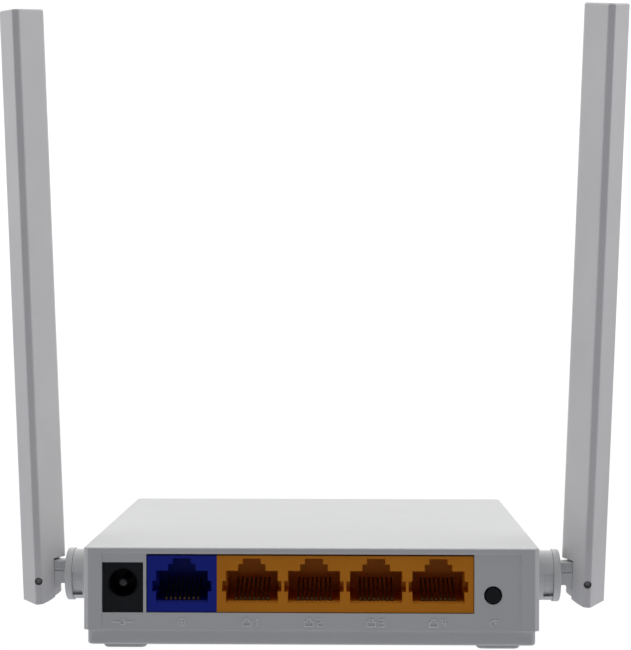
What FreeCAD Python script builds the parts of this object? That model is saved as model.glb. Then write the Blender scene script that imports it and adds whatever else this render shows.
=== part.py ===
"""Two-antenna desktop router, built as an assembly of its separate pieces.

Frame: millimetres, +Z up, origin on the table under the centre of the case.
The connector panel faces -Y and the indicator lights face +Y.
Each piece is written to parts/NAME.step. Pieces of the antennas come as a right
one, at +X, and its mirror image.
"""

import math
import os

import FreeCAD
import Part

Vector = FreeCAD.Vector
X_AXIS = Vector(1, 0, 0)
Y_AXIS = Vector(0, 1, 0)

# ---------------------------------------------------------------- driving sizes
# Case
case_width = 102.4
case_depth = 96.0
case_corner = 1.4            # plan radius of the upright corners
inner_corner = 0.5           # the same corners inside the walls
feet_height = 1.0
base_height = 3.45           # visible height of the base under the cover
cover_height = 18.5
cover_wall = 1.8
cover_top = 1.5
cover_edge = 0.4             # rounding round the top
base_inset = 0.8             # how far the base sits in from the cover
base_floor = 1.6
base_wall = 1.6
lip_height = 1.9             # upstand of the base inside the cover
lip_thick = 1.2
shell_gap = 0.1              # clearance between base lip and cover
panel_relief = 0.3           # depth of the recessed connector field
panel_width = 94.2
panel_top_margin = 1.1       # plain strip above the recessed field
window_gap = 0.15            # clearance round each connector
window_over_sockets = 0.4    # clearance above the sockets

# Board and what stands on it
board_width = 93.0
board_depth = 69.9
board_thick = 1.6
board_lift = 4.25            # board above the base's inner floor
jack_setback = 0.5           # connector fronts behind the case's rear plane
part_gap = 0.05              # between stacked or inserted pieces

# Power inlet
inlet_x = -42.37
inlet_width = 8.95
inlet_height = 11.0
inlet_length = 14.0
inlet_axis_height = 6.45     # above the board
inlet_bore = 3.15
inlet_bore_depth = 10.0
inlet_pin_radius = 1.0
inlet_pin_setback = 0.9       # its tip behind the mouth
inlet_pin_root = 1.4          # thicker root, held in the housing behind the bore
inlet_face_length = 3.4      # full-height block at the mouth

# Network sockets
port_pitch = 13.97
socket_height = 12.65
socket_length = 16.0
socket_side = 15.7           # width of a single socket
wan_x = -29.05
lan_first_x = -13.32
lan_ports = 4
plug_width = 11.7
plug_floor = 2.5             # from the board up to the plug's underside
plug_height = 6.8
plug_lead_in = 0.5           # bevel down from the cavity's floor to the front
latch_wide = 6.2
latch_wide_height = 1.5
latch_narrow = 4.1
latch_narrow_height = 1.25
notch_width = 13.35
notch_low = 4.6
notch_high = 7.0
notch_depth = 6.0
cavity_depth = 13.2
contact_count = 8
contact_pitch = 1.02
contact_width = 0.45
contact_thick = 0.3
contact_slot = 0.75          # groove in the socket for one contact
contact_row_gap = 2.54       # between the two rows of pins
pin_stickout = 1.0           # solder pins below the board
peg_radius = 1.5

# Reset button
button_x = 40.8
button_height = 4.0          # axis above the board
button_radius = 1.75
button_hole = 2.05
switch_width = 6.2
switch_height = 7.0
switch_length = 4.0
switch_setback = 6.5         # switch front behind the case's rear plane
switch_bore_depth = 1.6
stem_in_switch = 0.9
frame_thick = 0.35

# Antenna swivel and hinge
swivel_room = 0.5            # between the turning barrel and the power inlet
swivel_height = 13.95
knob_radius = 5.8
knob_length = 4.95
groove_radius = 5.0          # socket waist held in the case wall
socket_plate_width = 14.0
socket_plate_height = 11.4
socket_plate_thick = 1.6
barrel_radius = 4.0
barrel_gap = 0.06
barrel_lip = 0.5
barrel_lip_length = 1.2
flange_radius = 6.1
flange_thick = 1.6
flange_edge = 0.4
relief_depth = 0.9           # moulded window on the knob's lower rear part
relief_top = 1.2             # its upper edge, above the swivel axis
relief_low = 4.4             # its lower edge, below the swivel axis
relief_rim = 2.6
pin_out = 6.15               # hinge pin from the flange's outer face
pin_drop = 0.9               # hinge pin below the swivel axis
pin_radius = 0.9
pin_hole_gap = 0.06
neck_above = 3.3             # neck above the swivel axis
neck_below = 2.0
neck_thick = 3.2
knuckle_radius = 2.2
heel_reach = 4.6             # heel of the neck under the pin, towards the case
heel_chamfer = 1.0
slot_gap = 0.15
cable_radius = 0.65
cable_bore = 0.95
right_lean_deg = 1.5         # both antennas lean out a little
left_lean_deg = 2.0
right_swivel_deg = 5.2       # and are turned a little to the rear
left_swivel_deg = 1.5

# Antenna blade: three-sided, ridge to the rear and flat face to the front
blade_half_width = 6.0       # at the face, to the unrounded corners
blade_ridge = 5.5            # ridge behind the swivel axis
blade_face = 3.0             # flat face in front of the swivel axis
blade_ridge_flat = 1.55
blade_corner = 1.1
blade_ridge_round = 0.6
blade_top = 134.05           # above the hinge pin, at the flat face
blade_bottom = 5.45          # below the hinge pin
blade_top_slope = 1.0        # ridge end lower than the face end
blade_wall = 1.2
blade_edge = 0.35
fork_top = 4.6               # top of the opening for the neck, above the pin
fork_outer = 2.5             # outer side of that opening, outward of the pin
pin_in_cover = 0.8           # how deep the pin enters the face cover
fork_reach = 3.75            # blade left inward of the pin, beside the neck
heel_radius = 5.4            # rounded inner heel of the blade
channel_bottom = 9.0
channel_top_wall = 2.0
antenna_board_width = 5.4
antenna_board_thick = 0.8
antenna_board_low = 14.0
antenna_board_length = 96.0
dipole_thick = 0.1
dipole_width = 3.4
dipole_length = 42.0
dipole_split = 3.0
lead_top = 58.0

# Fasteners, feet and openings in the base
screw_radius = 1.45
screw_head_radius = 2.7
screw_head_height = 1.6
screw_hole = 1.6
case_screw_x = 43.0
case_screw_rear = 28.0       # rear pair, from the rear plane
case_screw_front = 16.5      # front pair, from the front plane
board_screw_x = 33.0
board_screw_back = 64.9      # from the board's rear edge
screw_length = 13.0
boss_radius = 3.0
post_radius = 3.7
board_screw_length = 4.6
board_post_radius = 2.6
board_screw_head = 2.4
foot_width = 9.7
foot_depth = 8.0
foot_x = 42.15
foot_end = 6.5               # middle of a foot from the case's end
foot_seat = 0.4
foot_edge = 0.35
keyhole_spacing = 60.0
keyhole_radius = 3.5
keyhole_slot_radius = 1.8
keyhole_slot_length = 6.0
keyhole_depth = 4.1
keyhole_roof = 0.9
keyhole_wall = 1.2
vent_width = 1.6
vent_length = 15.0
vent_pitch = 4.0
vent_count = 12
vent_y = 25.5
label_width = 44.0
label_depth = 24.0
label_thick = 0.15
label_recess = 0.25
catch_width = 8.0
catch_depth = 0.45
catch_height = 0.7

# Moulded signs under the connectors
mark_height = 0.2
mark_size = 1.6
mark_pen = 0.28
mark_lift = 1.75             # middle of the signs above the cover's lower edge

# Parts on the board: middle x, distance from the board's rear edge, width, depth, height
processor_place = (-10.0, 43.9, 12.0, 12.0, 1.2)
memory_place = (10.0, 36.9, 8.0, 10.0, 1.1)
flash_place = (23.0, 36.9, 5.3, 5.3, 1.9)
radio_place = (27.0, 53.9, 7.0, 7.0, 1.0)
shield_place = (27.0, 53.9, 13.0, 11.0, 2.6)
shield_thick = 0.2
inductor_place = (-31.0, 52.9, 7.0, 7.0, 4.0)
transformer_size = (13.0, 8.4, 4.2)
transformer_back = 21.4
transformer_xs = (-28.0, -6.0, 15.0)
capacitor_places = ((-41.5, 36.9), (-41.5, 45.9), (-33.0, 39.9))
capacitor_radius = 3.15
capacitor_height = 8.0
crystal_x = 6.0
crystal_back = 49.9

# Aerial leads inside the case
lead_bend_x = 41.0           # where the lead turns down, beside the socket
lead_plug_x = 36.0
lead_plug_forward = 4.5      # plug in front of the swivel axis
lead_plug_radius = 1.4
lead_plug_height = 1.7

# Indicator lights
light_count = 5
light_pitch = 10.0
light_radius = 1.0
light_height = 12.45         # above the table
light_arm = 1.8
light_bar_depth = 2.5
led_size = (1.6, 0.8, 0.6)
led_from_edge = 3.0

# ------------------------------------------------------------- derived levels
half_w = case_width / 2
half_d = case_depth / 2
base_bottom = feet_height
floor_top = base_bottom + base_floor
split_z = base_bottom + base_height
cover_z = split_z + cover_height
ceiling = cover_z - cover_top
inner_w = half_w - cover_wall
inner_d = half_d - cover_wall
board_bottom = floor_top + board_lift
board_top = board_bottom + board_thick
board_rear = -inner_d + 0.3
board_front = board_rear + board_depth
jack_front = -half_d + jack_setback
panel_y = -half_d + panel_relief
panel_top = cover_z - panel_top_margin
mark_z = split_z + mark_lift
inlet_z = board_top + inlet_axis_height
button_z = board_top + button_height
swivel_y = jack_front + inlet_length + barrel_radius + barrel_lip + swivel_room
knob_end = half_w + knob_length
flange_in = knob_end + part_gap
flange_out = flange_in + flange_thick
pin_x = flange_out + pin_out
pin_z = swivel_height - pin_drop
plate_in = inner_w - part_gap - socket_plate_thick
barrel_in = plate_in - part_gap - barrel_lip_length
lan_last_x = lan_first_x + (lan_ports - 1) * port_pitch
led_y = board_front - led_from_edge
case_screws_at = [(side * case_screw_x, y) for y in (-half_d + case_screw_rear,
                                                      half_d - case_screw_front)
                  for side in (-1, 1)]
board_screws_at = [(side * board_screw_x, board_rear + board_screw_back) for side in (-1, 1)]
fork_slot = neck_thick / 2 + slot_gap
aerial_stack = cable_radius + part_gap + dipole_thick + antenna_board_thick + part_gap
face_split = swivel_y + max(fork_slot, aerial_stack)
blade_low = pin_z - blade_bottom
blade_high = pin_z + blade_top
lead_x = pin_x - 1.4


# --------------------------------------------------------------- small helpers
def box(x0, x1, y0, y1, z0, z1):
    """Axis-aligned block between two corners."""
    return Part.makeBox(x1 - x0, y1 - y0, z1 - z0, Vector(x0, y0, z0))


def rod(radius, start, end):
    """Round bar from one point to another."""
    start, end = Vector(*start), Vector(*end)
    along = end - start
    return Part.makeCylinder(radius, along.Length, start, along)


def prism(points, along):
    """Block with the outline given by points, pulled along a vector."""
    closed = [Vector(*p) for p in points]
    return Part.Face(Part.makePolygon(closed + closed[:1])).extrude(Vector(*along))


def rounded_block(half_x, half_y, radius, z0, z1):
    """Upright block centred on the origin, with round vertical corners."""
    block = box(-half_x, half_x, -half_y, half_y, z0, z1)
    upright = [e for e in block.Edges if abs(e.tangentAt(e.FirstParameter).z) > 0.99]
    return block.makeFillet(radius, upright)


def moved(shape, x=0.0, y=0.0, z=0.0):
    """Copy of a shape, shifted."""
    copy = shape.copy()
    copy.translate(Vector(x, y, z))
    return copy


def join(shapes):
    """One solid from touching shapes."""
    first, rest = shapes[0], shapes[1:]
    return first.fuse(rest).removeSplitter() if rest else first


def side_copies(shape):
    """A shape and its mirror image across the middle of the case."""
    return [shape, shape.mirror(Vector(0, 0, 0), X_AXIS)]


def strip(path, thick, x_mid, width):
    """Flat metal strip that follows a path in the YZ plane, mitred at its bends."""
    left, right = [], []
    for i, (y, z) in enumerate(path):
        legs = []
        if i > 0:
            legs.append(unit(y - path[i - 1][0], z - path[i - 1][1]))
        if i < len(path) - 1:
            legs.append(unit(path[i + 1][0] - y, path[i + 1][1] - z))
        normals = [(-d[1], d[0]) for d in legs]
        ny = sum(n[0] for n in normals)
        nz = sum(n[1] for n in normals)
        ny, nz = unit(ny, nz)
        reach = thick / 2 / (ny * normals[0][0] + nz * normals[0][1])
        left.append((x_mid - width / 2, y + ny * reach, z + nz * reach))
        right.append((x_mid - width / 2, y - ny * reach, z - nz * reach))
    return prism(left + right[::-1], (width, 0, 0))


def unit(a, b):
    """Direction of (a, b) with length 1."""
    size = math.hypot(a, b)
    return a / size, b / size


def tube_path(points, radius):
    """Round cable along straight runs joined by tangent arcs."""
    points = [Vector(*p) for p in points]
    runs = [(b - a).Length for a, b in zip(points, points[1:])]
    edges = []
    start = points[0]
    for i in range(1, len(points) - 1):
        before = (points[i] - points[i - 1]).normalize()
        after = (points[i + 1] - points[i]).normalize()
        turn = before.getAngle(after)
        reach = 0.45 * min(runs[i - 1], runs[i])
        print("cable bend radius", round(reach / math.tan(turn / 2), 2))
        arc_start = points[i] - before * reach
        arc_end = points[i] + after * reach
        centre_way = (after - before).normalize()
        bend = reach / math.tan(turn / 2)
        centre = points[i] + centre_way * (bend / math.cos(turn / 2))
        middle = centre - centre_way * bend
        edges.append(Part.LineSegment(start, arc_start).toShape())
        edges.append(Part.Arc(arc_start, middle, arc_end).toShape())
        start = arc_end
    edges.append(Part.LineSegment(start, points[-1]).toShape())
    spine = Part.Wire(edges)
    ring = Part.Wire(Part.makeCircle(radius, points[0], points[1] - points[0]))
    return spine.makePipeShell([ring], True, False)


# ------------------------------------------------------------------- the case
def socket_slot(reach_in, reach_out):
    """Opening in the right wall for the antenna socket's waist, open below."""
    radius = groove_radius + part_gap
    slot = rod(radius, (reach_in, swivel_y, swivel_height),
               (reach_out, swivel_y, swivel_height))
    below = box(reach_in, reach_out, swivel_y - radius, swivel_y + radius,
                split_z - 1, swivel_height)
    return slot.fuse(below)


def connector_windows():
    """Cutters for the power inlet, the row of sockets and the reset button."""
    y0, y1 = -half_d - 1, -inner_d + 1
    low = board_top - window_gap
    inlet = box(inlet_x - inlet_width / 2 - window_gap, inlet_x + inlet_width / 2 + window_gap,
                y0, y1, low, board_top + inlet_height + window_gap)
    sockets = box(wan_x - socket_side / 2 - window_gap,
                  lan_last_x + socket_side / 2 + window_gap,
                  y0, y1, low, board_top + socket_height + window_over_sockets)
    button = rod(button_hole, (button_x, y0, button_z), (button_x, y1, button_z))
    return [inlet, sockets, button]


def stroke_mark(strokes, x_mid, z_mid, size, pen):
    """Raised mark of straight bars, each given by two points in units of its height."""
    bars = []
    for (x0, z0), (x1, z1) in strokes:
        ax, az = unit(x1 - x0, z1 - z0)
        px, pz = -az * pen / 2, ax * pen / 2
        ex, ez = ax * pen / 2, az * pen / 2
        x0, z0 = x_mid + x0 * size - ex, z_mid + z0 * size - ez
        x1, z1 = x_mid + x1 * size + ex, z_mid + z1 * size + ez
        outline = [(x0 + px, panel_y, z0 + pz), (x1 + px, panel_y, z1 + pz),
                   (x1 - px, panel_y, z1 - pz), (x0 - px, panel_y, z0 - pz)]
        bars.append(prism(outline, (0, -mark_height, 0)))
    return bars


DIGITS = {
    1: [((-0.15, 0.3), (0, 0.5)), ((0, 0.5), (0, -0.5))],
    2: [((-0.28, 0.5), (0.28, 0.5)), ((0.28, 0.5), (0.28, 0)), ((0.28, 0), (-0.28, 0)),
        ((-0.28, 0), (-0.28, -0.5)), ((-0.28, -0.5), (0.28, -0.5))],
    3: [((-0.28, 0.5), (0.28, 0.5)), ((0.28, 0.5), (0.28, -0.5)), ((0.28, 0), (-0.2, 0)),
        ((0.28, -0.5), (-0.28, -0.5))],
    4: [((-0.28, 0.5), (-0.28, -0.05)), ((-0.28, -0.05), (0.28, -0.05)),
        ((0.16, 0.5), (0.16, -0.5))],
}
PORT_SIGN = [((-0.6, -0.5), (0.6, -0.5)), ((0.6, -0.5), (0.6, 0.15)), ((0.6, 0.15), (0.25, 0.15)),
             ((0.25, 0.15), (0.25, 0.5)), ((0.25, 0.5), (-0.25, 0.5)), ((-0.25, 0.5), (-0.25, 0.15)),
             ((-0.25, 0.15), (-0.6, 0.15)), ((-0.6, 0.15), (-0.6, -0.5))]


def ring_mark(x_mid, radius, start_deg=0.0, sweep_deg=360.0):
    """Raised ring, or part of one, on the connector field."""
    seat = Vector(x_mid, panel_y, mark_z)
    outer = Part.makeCylinder(radius, mark_height, seat, -Y_AXIS, sweep_deg)
    inner = Part.makeCylinder(radius - mark_pen, mark_height + 1, seat, -Y_AXIS)
    ring = outer.cut(inner)
    ring.rotate(seat, Y_AXIS, start_deg)
    return ring


def port_marks():
    """Plain moulded signs under the connectors: no words, only numbers and symbols."""
    marks = []
    for k in range(lan_ports):
        x = lan_first_x + k * port_pitch
        marks += stroke_mark(PORT_SIGN, x - 1.1, mark_z, mark_size, mark_pen)
        marks += stroke_mark(DIGITS[k + 1], x + 1.3, mark_z, mark_size, mark_pen)
    globe = mark_size * 0.56
    marks.append(ring_mark(wan_x, globe))
    marks += stroke_mark([((-0.4, 0), (0.4, 0)), ((0, -0.4), (0, 0.4))],
                         wan_x, mark_z, mark_size, mark_pen)
    polarity = mark_size * 0.45
    marks.append(ring_mark(inlet_x, polarity, 45, 270))
    marks += stroke_mark([((-1.5, 0), (-0.35, 0)), ((0.1, 0), (1.5, 0))],
                         inlet_x, mark_z, mark_size, mark_pen)
    marks.append(ring_mark(button_x, polarity, -60, 300))
    marks += stroke_mark([((0.25, 0.45), (0.6, 0.45)), ((0.6, 0.45), (0.6, 0.1))],
                         button_x, mark_z, mark_size, mark_pen)
    return marks


def catches(y_front, x_side, reach, clearance):
    """Snap catches between base lip and cover, at the front and on both sides."""
    low = split_z + 0.6 - clearance
    high = low + catch_height + 2 * clearance
    half = catch_width / 2 + clearance
    found = []
    for x in (-28.0, 28.0):
        found.append(box(x - half, x + half, y_front - 0.2, y_front + reach, low, high))
    for side in (-1, 1):
        edge = side * x_side
        x0, x1 = sorted((edge - side * 0.2, edge + side * reach))
        found.append(box(x0, x1, 8 - half, 8 + half, low, high))
    return found


def top_cover():
    """Upper shell with the connector panel, bosses, light holes and moulded signs."""
    outer = rounded_block(half_w, half_d, case_corner, split_z, cover_z)
    rim = [e for e in outer.Edges if abs(e.BoundBox.ZMin - cover_z) < 1e-6]
    outer = outer.makeFillet(cover_edge, rim)
    inner = rounded_block(inner_w, inner_d, inner_corner, split_z - 1, ceiling)
    shell = outer.cut(inner)
    field = box(-panel_width / 2, panel_width / 2, -half_d - 1, panel_y, split_z - 1, panel_top)
    cuts = [field] + connector_windows() + side_copies(socket_slot(inner_w - 1, half_w + 1))
    for k in range(light_count):
        x = light_x(k)
        cuts.append(rod(light_radius + shell_gap, (x, inner_d - 1, light_height),
                        (x, half_d + 1, light_height)))
    cuts += catches(inner_d, inner_w, catch_depth + shell_gap, shell_gap)
    shell = shell.cut(cuts)
    bosses = []
    for x, y in case_screws_at:
        low = board_top + part_gap
        boss = rod(boss_radius, (x, y, low), (x, y, ceiling + 0.3))
        pilot = rod(screw_radius + part_gap, (x, y, low - 1), (x, y, low + 10))
        bosses.append(boss.cut(pilot))
    return join([shell] + bosses + port_marks())


def base_shell():
    """Tray with the lip, posts, keyholes, vents and seats for feet and label."""
    half_x, half_y = half_w - base_inset, half_d - base_inset
    tray = rounded_block(half_x, half_y, case_corner, base_bottom, split_z)
    edge = [e for e in tray.Edges if abs(e.BoundBox.ZMax - base_bottom) < 1e-6]
    tray = tray.makeFillet(0.6, edge)
    well = rounded_block(half_x - base_wall, half_y - base_wall, 1.0, floor_top, split_z + 1)
    tray = tray.cut(well)
    lip_x, lip_y = inner_w - shell_gap, inner_d - shell_gap
    lip = rounded_block(lip_x, lip_y, inner_corner, split_z - 1, split_z + lip_height)
    lip = lip.cut(rounded_block(lip_x - lip_thick, lip_y - lip_thick, 0.5,
                                split_z - 2, split_z + lip_height + 1))
    ledge = rounded_block(lip_x, lip_y, inner_corner, split_z - 1.2, split_z)
    ledge = ledge.cut(rounded_block(lip_x - lip_thick, lip_y - lip_thick, 0.5,
                                    split_z - 2, split_z + 1))
    posts = []
    cuts = []
    for x, y in case_screws_at:
        on_board = board_rear < y < board_front
        top = board_bottom if on_board else board_top
        posts.append(rod(post_radius if on_board else boss_radius,
                         (x, y, floor_top - 0.5), (x, y, top)))
        cuts.append(rod(screw_head_radius + 0.15, (x, y, base_bottom - 1),
                        (x, y, screw_head_top())))
        cuts.append(rod(screw_hole, (x, y, base_bottom), (x, y, top + 1)))
        posts.append(rod(post_radius, (x, y, floor_top - 0.5), (x, y, screw_head_top() + 1.2)))
    for x, y in board_screws_at:
        posts.append(rod(board_post_radius, (x, y, floor_top - 0.5), (x, y, board_bottom)))
        cuts.append(rod(screw_radius + part_gap, (x, y, floor_top),
                        (x, y, board_bottom + 1)))
    posts += saddles()
    for x in (-keyhole_spacing / 2, keyhole_spacing / 2):
        pocket, opening = keyhole(x)
        posts.append(pocket)
        cuts.append(opening)
    for row in (-vent_y, vent_y):
        for k in range(vent_count):
            x = (k - (vent_count - 1) / 2) * vent_pitch
            cuts.append(box(x - vent_width / 2, x + vent_width / 2, row - vent_length / 2,
                            row + vent_length / 2, base_bottom - 1, floor_top + 1))
    for x, y in foot_places():
        cuts.append(foot_block(x, y, base_bottom - 1, base_bottom + foot_seat, 0.0))
    cuts.append(box(-label_width / 2, label_width / 2, -label_depth / 2, label_depth / 2,
                    base_bottom - 1, base_bottom + label_recess))
    hooks = catches(lip_y, lip_x, catch_depth, 0.0)
    return join([tray, ledge, lip] + posts + hooks).cut(cuts)


def saddles():
    """Tongues of the base that close the cover's slots under the antenna sockets."""
    radius = groove_radius + part_gap
    width = radius - shell_gap
    block = box(inner_w, half_w, swivel_y - width, swivel_y + width,
                split_z, swivel_height - 1.5)
    bore = rod(radius, (inner_w - 1, swivel_y, swivel_height),
               (half_w + 1, swivel_y, swivel_height))
    return side_copies(block.cut(bore))


def keyhole(x):
    """Closed pocket over a wall-mounting keyhole, and the opening that enters it."""
    depth_top = base_bottom + keyhole_depth
    slot_y = keyhole_slot_length
    wall = keyhole_wall
    pocket = box(x - keyhole_radius - wall, x + keyhole_radius + wall,
                 -keyhole_radius - wall, slot_y + keyhole_radius + wall,
                 floor_top - 0.2, depth_top + keyhole_roof)
    space = box(x - keyhole_radius, x + keyhole_radius, -keyhole_radius,
                slot_y + keyhole_radius, floor_top, depth_top)
    entry = rod(keyhole_radius, (x, 0, base_bottom - 1), (x, 0, floor_top + 0.1))
    slot = box(x - keyhole_slot_radius, x + keyhole_slot_radius, 0, slot_y,
               base_bottom - 1, floor_top + 0.1)
    end = rod(keyhole_slot_radius, (x, slot_y, base_bottom - 1), (x, slot_y, floor_top + 0.1))
    return pocket, join([space, entry, slot, end])


def foot_places():
    """Centres of the four feet."""
    return [(sx * foot_x, sy * (half_d - foot_end)) for sx in (-1, 1) for sy in (-1, 1)]


def foot_block(x, y, z0, z1, edge):
    """Rounded rectangular pad, chamfered round its underside."""
    block = rounded_block(foot_width / 2, foot_depth / 2, 1.5, z0, z1)
    if edge:
        under = [e for e in block.Edges if abs(e.BoundBox.ZMax - z0) < 1e-6]
        block = block.makeChamfer(edge, under)
    return moved(block, x, y)


def feet():
    """Four rubber pads in their seats."""
    return [foot_block(x, y, 0.0, base_bottom + foot_seat, foot_edge) for x, y in foot_places()]


def rating_label():
    """Blank sticker in its recess under the base."""
    top = base_bottom + label_recess
    half_x, half_y = label_width / 2 - 0.2, label_depth / 2 - 0.2
    return [rounded_block(half_x, half_y, 1.0, top - label_thick, top)]


def screw_head_top():
    """Level of the case screws' bearing faces."""
    return base_bottom + screw_head_height + 0.2


def screw(x, y, z_seat, length, head_radius):
    """Cross-head screw, driven upward: its head lies below z_seat."""
    head = rod(head_radius, (x, y, z_seat - screw_head_height), (x, y, z_seat))
    rim = [e for e in head.Edges if abs(e.BoundBox.ZMax - (z_seat - screw_head_height)) < 1e-6]
    head = head.makeFillet(0.5, rim)
    shank = rod(screw_radius, (x, y, z_seat - 0.1), (x, y, z_seat + length - 0.8))
    tip = Part.makeCone(screw_radius, 0.5, 0.8, Vector(x, y, z_seat + length - 0.8))
    low = z_seat - screw_head_height - 1
    drive = [box(x - 1.5, x + 1.5, y - 0.25, y + 0.25, low, z_seat - 0.6),
             box(x - 0.25, x + 0.25, y - 1.5, y + 1.5, low, z_seat - 0.6)]
    return join([head, shank, tip]).cut(drive)


def case_screws():
    """Screws from under the base into the cover's bosses."""
    return [screw(x, y, screw_head_top(), screw_length, screw_head_radius)
            for x, y in case_screws_at]


def board_screws():
    """Screws that hold the board down on its posts."""
    made = []
    for x, y in board_screws_at:
        upward = screw(x, y, 0.0, board_screw_length, board_screw_head)
        upward.rotate(Vector(x, y, 0), X_AXIS, 180)
        made.append(moved(upward, z=board_top))
    return made


# ------------------------------------------------------------------- the board
def contact_x(port_x, k):
    """Middle of contact k of a socket."""
    return port_x + (k - (contact_count - 1) / 2) * contact_pitch


def contact_row_y(k):
    """Contacts solder in two rows, taken in turn."""
    return jack_front + socket_length - 5.0 + (k % 2) * contact_row_gap


def port_positions():
    """Middles of the five sockets."""
    return [wan_x] + [lan_first_x + k * port_pitch for k in range(lan_ports)]


def peg_places():
    """Middles of the plastic pegs under the sockets."""
    reach = socket_side / 2 - 2.4
    y = jack_front + 5.5
    return [(wan_x - reach, y), (wan_x + reach, y),
            (lan_first_x - reach, y), (lan_last_x + reach, y)]


def main_board():
    """Circuit board, drilled for screws, pins and pegs."""
    board = box(-board_width / 2, board_width / 2, board_rear, board_front,
                board_bottom, board_top)
    holes = []
    for x, y in case_screws_at + board_screws_at:
        if board_rear < y < board_front:
            holes.append((screw_hole, x, y))
    for port in port_positions():
        for k in range(contact_count):
            holes.append((0.45, contact_x(port, k), contact_row_y(k)))
    holes += [(peg_radius + 0.1, x, y) for x, y in peg_places()]
    cuts = [rod(r, (x, y, board_bottom - 1), (x, y, board_top + 1)) for r, x, y in holes]
    return board.cut(cuts + inlet_tab_holes())


def chip(x, back, size_x, size_y, height):
    """Moulded package on the board, with a smaller base below it."""
    y, lift = board_rear + back, 0.1
    body = box(x - size_x / 2, x + size_x / 2, y - size_y / 2, y + size_y / 2,
               board_top + lift, board_top + height)
    foot = box(x - size_x / 2 + 0.3, x + size_x / 2 - 0.3, y - size_y / 2 + 0.3,
               y + size_y / 2 - 0.3, board_top, board_top + lift)
    return join([body, foot])


def line_transformers():
    """Isolation transformers behind the sockets."""
    return [chip(x, transformer_back, *transformer_size) for x in transformer_xs]


def radio_shield():
    """Folded can over the radio chip."""
    x, back, size_x, size_y, height = shield_place
    y = board_rear + back
    can = box(x - size_x / 2, x + size_x / 2, y - size_y / 2, y + size_y / 2,
              board_top, board_top + height)
    room = box(x - size_x / 2 + shield_thick, x + size_x / 2 - shield_thick,
               y - size_y / 2 + shield_thick, y + size_y / 2 - shield_thick,
               board_top - 1, board_top + height - shield_thick)
    return can.cut(room)


def smoothing_capacitors():
    """Upright electrolytic capacitors by the power inlet."""
    made = []
    half = capacitor_radius + 0.15
    for x, back in capacitor_places:
        y = board_rear + back
        can = rod(capacitor_radius, (x, y, board_top + 0.8),
                  (x, y, board_top + capacitor_height))
        groove = Part.makeTorus(half, 0.35, Vector(x, y, board_top + 1.9))
        foot = box(x - half, x + half, y - half, y + half, board_top, board_top + 0.9)
        made.append(join([can.cut(groove), foot]))
    return made


def crystal():
    """Metal-can crystal."""
    x, y, half = crystal_x, board_rear + crystal_back, 3.4
    bar = box(x - half, x + half, y - 2.3, y + 2.3, board_top, board_top + 3.4)
    ends = [rod(2.3, (x - s * half, y, board_top), (x - s * half, y, board_top + 3.4))
            for s in (-1, 1)]
    return join([bar] + ends)


# ------------------------------------------------------------- the power inlet
def inlet_tab_holes():
    """Slots in the board for the inlet's two solder tabs."""
    rear = jack_front + inlet_length
    return [box(inlet_x - 1.3, inlet_x + 1.3, rear - 0.1, rear + 0.9,
                board_bottom - 1, board_top + 1),
            box(inlet_x - 1.3, inlet_x + 1.3, rear - 6.0, rear - 5.0,
                board_bottom - 1, board_top + 1)]


def inlet_housing():
    """Black block of the power inlet: square mouth, round-backed body."""
    half = inlet_width / 2
    rear = jack_front + inlet_length
    mouth = box(inlet_x - half, inlet_x + half, jack_front, jack_front + inlet_face_length,
                board_top, board_top + inlet_height)
    lower = box(inlet_x - half, inlet_x + half, jack_front, rear, board_top, inlet_z)
    barrel = rod(half - 0.2, (inlet_x, jack_front, inlet_z), (inlet_x, rear, inlet_z))
    bore = rod(inlet_bore, (inlet_x, jack_front - 1, inlet_z),
               (inlet_x, jack_front + inlet_bore_depth, inlet_z))
    pin_hole = rod(inlet_pin_root + part_gap, (inlet_x, jack_front, inlet_z),
                   (inlet_x, rear + 1, inlet_z))
    throat = Part.makeCone(inlet_bore + 0.5, inlet_bore, 0.5,
                           Vector(inlet_x, jack_front, inlet_z), Y_AXIS)
    leaf_slot = box(inlet_x - 1.5, inlet_x + 1.5, jack_front + 2.4, rear - 4.7,
                    board_top - 1, inlet_z - inlet_bore + 0.5)
    return join([mouth, lower, barrel]).cut([bore, pin_hole, throat, leaf_slot])


def inlet_pin():
    """Centre pin: slim in the bore, thicker in the housing, with its rear solder tab."""
    rear = jack_front + inlet_length
    tip = jack_front + inlet_pin_setback
    seat = jack_front + inlet_bore_depth
    slim = rod(inlet_pin_radius, (inlet_x, tip, inlet_z), (inlet_x, seat + 0.2, inlet_z))
    nose = [e for e in slim.Edges if abs(e.BoundBox.YMax - tip) < 1e-6]
    slim = slim.makeFillet(0.5, nose)
    root = rod(inlet_pin_root, (inlet_x, seat, inlet_z), (inlet_x, rear + 0.2, inlet_z))
    tab = box(inlet_x - 1.1, inlet_x + 1.1, rear + 0.1, rear + 0.7,
              board_bottom - pin_stickout, inlet_z + 1.1)
    return join([slim, root, tab])


def inlet_leaf():
    """Sprung outer contact along the floor of the bore."""
    rear = jack_front + inlet_length - 5.5
    path = [(rear, board_bottom - pin_stickout), (rear, board_top + 1.2),
            (jack_front + 5.5, board_top + 1.2), (jack_front + 3.4, board_top + 3.0)]
    return strip(path, 0.4, inlet_x, 2.2)


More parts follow.
